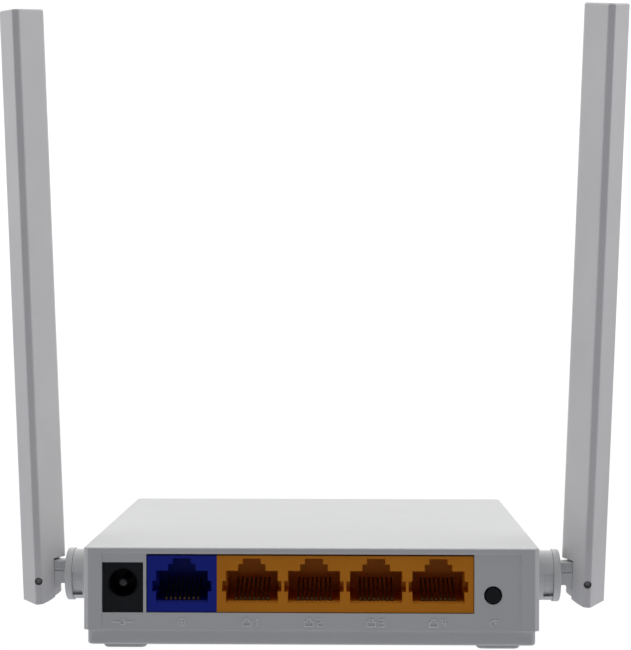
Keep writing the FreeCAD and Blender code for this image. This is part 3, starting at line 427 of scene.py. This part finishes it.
@dataclass(frozen=True)
class LabelFilm:
    """Blank printed film: a plain border on a satin field, with no lettering."""

    name: str
    field_colour: Colour = (0.72, 0.72, 0.70)
    border_colour: Colour = (0.30, 0.31, 0.33)
    half_width: float = 0.0203
    half_depth: float = 0.0103
    line: float = 0.0003
    fibre_size: float = 0.0004
    fibre_depth: float = 0.000004
    rough: Tuple[float, float] = (0.35, 0.5)

    def make(self) -> bpy.types.Material:
        """Builds the material.

        Returns:
            The finished material.
        """
        sheet = NodeSheet(self.name)
        split = sheet.add("ShaderNodeSeparateXYZ")
        sheet.link(sheet.place, split.inputs[0])
        near = [self.edge_line(sheet, split.outputs[0], self.half_width),
                self.edge_line(sheet, split.outputs[1], self.half_depth)]
        inside = [self.within(sheet, split.outputs[0], self.half_width + self.line),
                  self.within(sheet, split.outputs[1], self.half_depth + self.line)]
        border = self.combine(sheet, "MAXIMUM", near)
        border = self.combine(sheet, "MULTIPLY", [border, self.combine(sheet, "MULTIPLY", inside)])
        sheet.link(sheet.blend(border, self.field_colour, self.border_colour),
                   sheet.shader.inputs["Base Color"])
        fibres = sheet.noise(self.fibre_size, 5.0)
        sheet.link(sheet.spread(fibres, *self.rough), sheet.shader.inputs["Roughness"])
        sheet.relief(fibres, self.fibre_depth, 0.0)
        return sheet.material

    def edge_line(self, sheet: NodeSheet, along: bpy.types.NodeSocket,
                  at: float) -> bpy.types.NodeSocket:
        """Draws a pair of thin lines.

        Args:
            sheet: the material.
            along: coordinate across the lines.
            at: their distance from the middle.

        Returns:
            1 on the lines.
        """
        size = sheet.add("ShaderNodeMath", operation="ABSOLUTE")
        sheet.link(along, size.inputs[0])
        line = sheet.add("ShaderNodeMath", operation="COMPARE")
        line.inputs[1].default_value = at
        line.inputs[2].default_value = self.line / 2
        sheet.link(size.outputs[0], line.inputs[0])
        return line.outputs[0]

    def within(self, sheet: NodeSheet, along: bpy.types.NodeSocket,
               reach: float) -> bpy.types.NodeSocket:
        """Marks a band about the middle.

        Args:
            sheet: the material.
            along: coordinate across the band.
            reach: half its width.

        Returns:
            1 inside the band.
        """
        size = sheet.add("ShaderNodeMath", operation="ABSOLUTE")
        sheet.link(along, size.inputs[0])
        band = sheet.add("ShaderNodeMath", operation="LESS_THAN")
        band.inputs[1].default_value = reach
        sheet.link(size.outputs[0], band.inputs[0])
        return band.outputs[0]

    def combine(self, sheet: NodeSheet, rule: str,
                pair: Sequence[bpy.types.NodeSocket]) -> bpy.types.NodeSocket:
        """Joins two masks.

        Args:
            sheet: the material.
            rule: MAXIMUM or MULTIPLY.
            pair: the masks.

        Returns:
            The joined mask.
        """
        node = sheet.add("ShaderNodeMath", operation=rule)
        sheet.link(pair[0], node.inputs[0])
        sheet.link(pair[1], node.inputs[1])
        return node.outputs[0]


# --------------------------------------------------------------- mesh pieces
class MeshMaker:
    """Builds small meshes and sets them on a body."""

    DOME_SIDES = 12
    DOME_PROFILE = ((1.0, 0.0), (0.72, 0.22), (0.45, 0.5), (0.3, 0.82), (0.2, 1.0))

    def __init__(self, name: str) -> None:
        """Starts an empty mesh.

        Args:
            name: name of the piece.
        """
        self.name = name
        self.mesh = bmesh.new()

    def block(self, centre: Point, size: Point, bevel: float = 0.0) -> None:
        """Adds a block with bevelled edges.

        Args:
            centre: its middle.
            size: its size along X, Y and Z.
            bevel: width of the edges' bevel.
        """
        made = bmesh.ops.create_cube(self.mesh, size=1.0)
        scale = Matrix.Diagonal((*size, 1.0))
        bmesh.ops.transform(self.mesh, verts=made["verts"],
                            matrix=Matrix.Translation(centre) @ scale)
        if bevel > 0:
            edges = list({e for v in made["verts"] for e in v.link_edges})
            bmesh.ops.bevel(self.mesh, geom=edges, offset=bevel, segments=2, affect="EDGES")

    def dome(self, centre: Point, radius: float, height: float, down: bool = False) -> None:
        """Adds a turned solder fillet: wide foot, narrow tip.

        Args:
            centre: middle of its foot.
            radius: radius of its foot.
            height: its height.
            down: True to point it down.
        """
        sign = -1.0 if down else 1.0
        rings: List[List[bmesh.types.BMVert]] = []
        sides = self.DOME_SIDES
        for wide, high in self.DOME_PROFILE:
            ring = []
            for k in range(sides):
                turn = 2 * math.pi * k / sides
                ring.append(self.mesh.verts.new((centre[0] + radius * wide * math.cos(turn),
                                                 centre[1] + radius * wide * math.sin(turn),
                                                 centre[2] + sign * height * high)))
            rings.append(ring)
        for low, high in zip(rings, rings[1:]):
            for k in range(sides):
                after = (k + 1) % sides
                self.mesh.faces.new((low[k], low[after], high[after], high[k]))
        self.mesh.faces.new(rings[0][::-1])
        self.mesh.faces.new(rings[-1])

    def finish(self, body: str, slot: str, material: bpy.types.Material) -> bpy.types.Object:
        """Turns the mesh into a piece.

        Args:
            body: body that it moves with.
            slot: not used.
            material: its material.

        Returns:
            The new object.
        """
        bmesh.ops.recalc_face_normals(self.mesh, faces=self.mesh.faces)
        data = bpy.data.meshes.new(self.name)
        self.mesh.to_mesh(data)
        self.mesh.free()
        data.materials.append(material)
        piece = bpy.data.objects.new(self.name, data)
        bpy.context.scene.collection.objects.link(piece)
        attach(piece, body)
        LOG.info("piece %s on %s", self.name, body)
        return piece


def dress(material: bpy.types.Material, nodes: Iterable[str]) -> None:
    """Gives nodes a material.

    Args:
        material: the material.
        nodes: names of the nodes.
    """
    for name in nodes:
        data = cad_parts[name].data
        data.materials.clear()
        data.materials.append(material)
        LOG.info("dressed %s with %s", name, material.name)


# --------------------------------------------------------------- the assemblies
@dataclass
class CaseShells:
    """The two shells with their feet, screws and blank label."""

    shell: MarkedPlastic = MarkedPlastic("case_white", (0.68, 0.683, 0.685), 0.5, Grain.SPARK)
    base: MouldedPlastic = MouldedPlastic("case_white_base", (0.68, 0.685, 0.69), 0.55, Grain.SPARK)
    foot: SoftRubber = SoftRubber("foot_rubber_pale", (0.49, 0.49, 0.49))
    screw: PlatedMetal = PlatedMetal("screw_zinc", (0.55, 0.56, 0.60))
    label: LabelFilm = LabelFilm("label_blank")

    def build(self) -> None:
        """Dresses the shells and what is fixed to them."""
        dress(self.shell.make(), ["top_cover"])
        dress(self.base.make(), ["bottom_cover"])
        dress(self.foot.make(), ["rubber_feet"])
        dress(self.screw.make(), ["case_screws", "board_screws"])
        dress(self.label.make(), ["rating_label"])


@dataclass
class SocketPanel:
    """Network sockets, power inlet and reset button."""

    wan: MouldedPlastic = MouldedPlastic("socket_blue", (0.009, 0.022, 0.34), 0.48,
                                         Grain.POLISHED, 0.0005, 0.05, 0.00006, 0.0, 0.15)
    lan: MouldedPlastic = MouldedPlastic("socket_amber", (0.72, 0.25, 0.012), 0.48,
                                         Grain.POLISHED, 0.0005, 0.04, 0.00006, 0.0, 0.15)
    black: MouldedPlastic = MouldedPlastic("inlet_black", (0.008, 0.009, 0.012), 0.45,
                                           Grain.SATIN, 0.0004, 0.1, 0.00008, 0.0, 0.2)
    # painted shade: the contact gold is darkened far below bright plating to stand in for the shade
    # deep in the sockets; the coax plugs share it
    gold_painted_shade: PlatedMetal = PlatedMetal("contact_gold_painted_shade", (0.17, 0.11, 0.05), 0.5)
    # painted shade: the nickel is darkened nearly to black to stand in for the shade in the inlet's
    # bore; the spring contact and the switch frame share it
    nickel_painted_shade: PlatedMetal = PlatedMetal("inlet_nickel_painted_shade", (0.085, 0.085, 0.09), 0.55)

    def build(self) -> None:
        """Dresses the connectors."""
        dress(self.wan.make(), ["wan_socket_housing"])
        dress(self.lan.make(), ["lan_socket_housing"])
        dress(self.black.make(), ["power_inlet_housing", "reset_switch", "reset_button"])
        gold_painted_shade = self.gold_painted_shade.make()
        dress(gold_painted_shade, ["wan_socket_contacts"] + ["lan_socket_%d_contacts" % k for k in (1, 2, 3, 4)])
        dress(gold_painted_shade, ["coax_plugs"])
        dress(self.nickel_painted_shade.make(), ["power_inlet_pin", "power_inlet_spring_contact",
                                "reset_switch_frame"])


@dataclass
class CircuitBoard:
    """The board, its larger parts, and rows of small ones."""

    laminate: SolderMask = SolderMask("board_green")
    package: MouldedPlastic = MouldedPlastic("package_epoxy", (0.022, 0.022, 0.024), 0.6,
                                             Grain.SPARK, 0.0002, 0.15, 0.00005)
    sleeve: MouldedPlastic = MouldedPlastic("capacitor_sleeve", (0.012, 0.016, 0.035), 0.3,
                                            Grain.POLISHED, 0.0006, 0.1, 0.00010)
    ferrite: MouldedPlastic = MouldedPlastic("inductor_ferrite", (0.045, 0.045, 0.048), 0.7,
                                             Grain.SPARK, 0.0002, 0.25, 0.0001)
    can: PlatedMetal = PlatedMetal("can_tin", (0.66, 0.66, 0.64), 0.36)
    solder: PlatedMetal = PlatedMetal("solder", (0.62, 0.62, 0.63), 0.25)
    ceramic: MouldedPlastic = MouldedPlastic("chip_ceramic", (0.20, 0.13, 0.08), 0.45,
                                             Grain.SATIN, 0.0003, 0.2, 0.00003)
    part_size: Point = (1.6 * MM, 0.8 * MM, 0.6 * MM)
    cap_length: float = 0.32 * MM
    row_pitch: float = 2.6 * MM
    rows: Tuple[Tuple[float, float, int], ...] = ((-18.0, -16.5, 7), (-14.0, 8.5, 6),
                                                  (4.0, -17.0, 5), (16.5, -15.5, 5),
                                                  (-22.0, 14.5, 8), (2.0, 12.0, 5))
    part_bevel: float = 0.03 * MM
    cap_bevel: float = 0.05 * MM
    cap_swell: float = 1.04
    leg_width: float = 0.45 * MM
    leg_setback: float = 0.15 * MM
    row_step: float = 2.54 * MM
    fillet_radius: float = 0.85 * MM
    fillet_height: float = 0.8 * MM
    legs: int = 8

    def build(self) -> None:
        """Dresses the board's parts and adds the small ones."""
        dress(self.laminate.make(), ["main_board"])
        dress(self.package.make(), ["processor_chip", "memory_chip", "flash_chip", "radio_chip",
                                    "line_transformers"])
        dress(self.sleeve.make(), ["smoothing_capacitors"])
        dress(self.ferrite.make(), ["power_inductor"])
        dress(self.can.make(), ["radio_shield", "crystal"])
        solder = self.solder.make()
        self.small_parts(solder)
        self.joints(solder)

    def small_parts(self, solder: bpy.types.Material) -> None:
        """Sets rows of small two-ended parts on the board.

        Args:
            solder: material of their ends.
        """
        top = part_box("main_board")[1].z
        bodies, ends = MeshMaker("small_part_bodies"), MeshMaker("small_part_ends")
        length, width, height = self.part_size
        for x_mm, y_mm, count in self.rows:
            for k in range(count):
                x, y = x_mm * MM + k * self.row_pitch, y_mm * MM
                z = top + height / 2
                bodies.block((x, y, z), (length - 2 * self.cap_length, width, height),
                             self.part_bevel)
                for sign in (-1, 1):
                    shift = sign * (length - self.cap_length) / 2
                    ends.block((x + shift, y, z),
                               (self.cap_length, width * self.cap_swell, height * self.cap_swell),
                               self.cap_bevel)
        bodies.finish("case", "chip_package", self.ceramic.make())
        ends.finish("case", "nickel", solder)

    def joints(self, solder: bpy.types.Material) -> None:
        """Adds solder fillets under the sockets' pins.

        Args:
            solder: their material.
        """
        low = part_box("main_board")[0].z
        maker = MeshMaker("solder_joints")
        names = ["wan_socket_contacts"] + ["lan_socket_%d_contacts" % k for k in (1, 2, 3, 4)]
        for name in names:
            first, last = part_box(name)
            row = last.y - self.leg_setback
            pitch = (last.x - first.x - self.leg_width) / (self.legs - 1)
            for k in range(self.legs):
                x = first.x + self.leg_width / 2 + k * pitch
                y = row - (0.0 if k % 2 else self.row_step)
                maker.dome((x, y, low), self.fillet_radius, self.fillet_height, True)
        maker.finish("case", "nickel", solder)


@dataclass
class IndicatorLights:
    """Clear light guide and the sources under it."""

    clear: MouldedPlastic = MouldedPlastic("guide_frosted", (0.72, 0.75, 0.76), 0.28,
                                           Grain.POLISHED, 0.0006, 0.02, 0.0001, 0.35)
    lens: MouldedPlastic = MouldedPlastic("led_resin", (0.80, 0.76, 0.42), 0.2,
                                          Grain.POLISHED, 0.0004, 0.05, 0.00005, 0.2)

    def build(self) -> None:
        """Dresses the guide and the lights."""
        dress(self.clear.make(), ["light_guide"])
        dress(self.lens.make(), ["indicator_leds"])


@dataclass
class Antenna:
    """One antenna with its socket, elbow, blade and lead."""

    side: Side
    blade: MouldedPlastic = MouldedPlastic("antenna_grey", (0.78, 0.775, 0.78), 0.46,
                                           Grain.SATIN, 0.0003, 0.025, 0.00022)
    hinge: MouldedPlastic = MouldedPlastic("hinge_grey", (0.76, 0.765, 0.77), 0.42,
                                           Grain.SATIN, 0.0003, 0.03, 0.00015)
    laminate: SolderMask = SolderMask("antenna_board_green")
    copper: PlatedMetal = PlatedMetal("dipole_copper", (0.72, 0.38, 0.22), 0.3)
    jacket: MouldedPlastic = MouldedPlastic("lead_jacket", (0.03, 0.03, 0.03), 0.45,
                                            Grain.POLISHED, 0.0004, 0.1, 0.0)

    def build(self) -> None:
        """Dresses the antenna's pieces."""
        name = self.side.value
        dress(self.blade.make(), [name + "_antenna_blade", name + "_antenna_face_cover"])
        dress(self.hinge.make(), [name + "_antenna_socket", name + "_antenna_elbow"])
        low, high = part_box(name + "_antenna_hinge_pin")
        middle = tuple((a + b) / 2 for a, b in zip(low, high))
        dress(PinHead(name + "_hinge_pin_end", middle).make(), [name + "_antenna_hinge_pin"])
        dress(self.laminate.make(), [name + "_antenna_board"])
        dress(self.copper.make(), [name + "_antenna_dipole"])
        dress(self.jacket.make(), [name + "_coax_lead_in_" + part
                                   for part in ("case", "elbow", "antenna")])


# ---------------------------------------------------------------------- studio
@dataclass
class Studio:
    """Pale floor, wraparound soft light, and the camera."""

    eye: Point = (7.66 * MM, -408.5 * MM, 75.66 * MM)
    yaw_deg: float = -1.06
    pitch_deg: float = -0.43
    roll_deg: float = 0.03
    lens_mm: float = 89.22
    floor_half: float = 6.0
    floor_colour: Colour = (0.62, 0.62, 0.62)
    floor_white: float = 0.9
    floor_bounce: float = 0.55
    bounce_colour: Colour = (0.965, 0.975, 1.03)
    white: float = 1.08
    dim: float = 0.05
    bright: float = 1.66
    turn_low: float = -0.2
    turn_high: float = 0.3
    top_pull: float = 0.4
    sensor_mm: float = 36.0
    nearest: float = 0.01
    floor_drop: float = 0.0001

    def build(self) -> None:
        """Sets up the floor, the light and the camera."""
        bpy.context.scene.view_settings.view_transform = "Standard"
        self.floor()
        self.light()
        self.camera()

    def floor(self) -> None:
        """Lays a wide pale floor under the feet."""
        maker = bmesh.new()
        bmesh.ops.create_grid(maker, x_segments=1, y_segments=1, size=self.floor_half)
        data = bpy.data.meshes.new("studio_floor")
        maker.to_mesh(data)
        maker.free()
        material = bpy.data.materials.new("studio_floor_white")
        material.use_nodes = True
        tree = material.node_tree
        tree.nodes.clear()
        matt = tree.nodes.new("ShaderNodeBsdfDiffuse")
        matt.inputs["Color"].default_value = (*self.floor_colour, 1.0)
        white = tree.nodes.new("ShaderNodeEmission")
        white.inputs["Strength"].default_value = self.white
        seen = tree.nodes.new("ShaderNodeMixShader")
        seen.inputs[0].default_value = self.floor_white
        tree.links.new(matt.outputs[0], seen.inputs[1])
        tree.links.new(white.outputs[0], seen.inputs[2])
        bounce = tree.nodes.new("ShaderNodeEmission")
        bounce.inputs["Color"].default_value = (*self.bounce_colour, 1.0)
        bounce.inputs["Strength"].default_value = self.floor_bounce
        path = tree.nodes.new("ShaderNodeLightPath")
        mix = tree.nodes.new("ShaderNodeMixShader")
        out = tree.nodes.new("ShaderNodeOutputMaterial")
        tree.links.new(path.outputs["Is Camera Ray"], mix.inputs[0])
        tree.links.new(bounce.outputs[0], mix.inputs[1])
        tree.links.new(seen.outputs[0], mix.inputs[2])
        tree.links.new(mix.outputs[0], out.inputs["Surface"])
        data.materials.append(material)
        ground = bpy.data.objects.new("studio_floor", data)
        ground.location.z = -self.floor_drop
        bpy.context.scene.collection.objects.link(ground)

    def light(self) -> None:
        """Makes the light: bright above, behind and at the sides, dim from the panel's side."""
        world = bpy.data.worlds.new("studio_light")
        bpy.context.scene.world = world
        world.use_nodes = True
        tree = world.node_tree
        tree.nodes.clear()
        coord = tree.nodes.new("ShaderNodeTexCoord")
        split = tree.nodes.new("ShaderNodeSeparateXYZ")
        tree.links.new(coord.outputs["Generated"], split.inputs[0])
        pull = tree.nodes.new("ShaderNodeMath")
        pull.operation = "MULTIPLY_ADD"
        pull.inputs[1].default_value = self.top_pull
        tree.links.new(split.outputs[2], pull.inputs[0])
        tree.links.new(split.outputs[1], pull.inputs[2])
        ramp = tree.nodes.new("ShaderNodeMapRange")
        ramp.interpolation_type = "SMOOTHSTEP"
        ramp.inputs["From Min"].default_value = self.turn_low
        ramp.inputs["From Max"].default_value = self.turn_high
        ramp.inputs["To Min"].default_value = self.dim
        ramp.inputs["To Max"].default_value = self.bright
        tree.links.new(pull.outputs[0], ramp.inputs["Value"])
        soft = tree.nodes.new("ShaderNodeBackground")
        tree.links.new(ramp.outputs["Result"], soft.inputs["Strength"])
        plain = tree.nodes.new("ShaderNodeBackground")
        plain.inputs["Color"].default_value = (1.0, 1.0, 1.0, 1.0)
        plain.inputs["Strength"].default_value = self.white
        path = tree.nodes.new("ShaderNodeLightPath")
        mix = tree.nodes.new("ShaderNodeMixShader")
        out = tree.nodes.new("ShaderNodeOutputWorld")
        tree.links.new(path.outputs["Is Camera Ray"], mix.inputs[0])
        tree.links.new(soft.outputs[0], mix.inputs[1])
        tree.links.new(plain.outputs[0], mix.inputs[2])
        tree.links.new(mix.outputs[0], out.inputs["Surface"])

    def camera(self) -> None:
        """Places the camera, level with the lid's rear edge and well behind the panel."""
        data = bpy.data.cameras.new("studio_camera")
        data.lens = self.lens_mm
        data.sensor_width = self.sensor_mm
        data.clip_start = self.nearest
        data.dof.use_dof = False
        eye = bpy.data.objects.new("studio_camera", data)
        bpy.context.scene.collection.objects.link(eye)
        yaw, pitch = math.radians(self.yaw_deg), math.radians(self.pitch_deg)
        ahead = Vector((math.sin(yaw) * math.cos(pitch), math.cos(yaw) * math.cos(pitch),
                        math.sin(pitch)))
        turn = ahead.to_track_quat("-Z", "Y").to_matrix().to_4x4()
        roll = Matrix.Rotation(math.radians(self.roll_deg), 4, "Z")
        eye.matrix_world = Matrix.Translation(self.eye) @ turn @ roll
        bpy.context.scene.camera = eye


@dataclass
class Router:
    """The whole router in the order in which it goes together."""

    shells: CaseShells = field(default_factory=CaseShells)
    board: CircuitBoard = field(default_factory=CircuitBoard)
    panel: SocketPanel = field(default_factory=SocketPanel)
    lights: IndicatorLights = field(default_factory=IndicatorLights)
    antennas: List[Antenna] = field(default_factory=lambda: [Antenna(s) for s in Side])
    studio: Studio = field(default_factory=Studio)

    def build(self) -> None:
        """Builds every sub-assembly and the studio."""
        parts = [self.shells, self.board, self.panel, self.lights] + self.antennas + [self.studio]
        for part in parts:
            part.build()
            LOG.info("built %s", type(part).__name__)


def main() -> None:
    """Builds the router."""
    logging.basicConfig(level=logging.INFO, format="%(name)s %(message)s")
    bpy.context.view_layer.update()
    Router().build()
    bpy.context.view_layer.update()


if __name__ == "__main__":
    main()
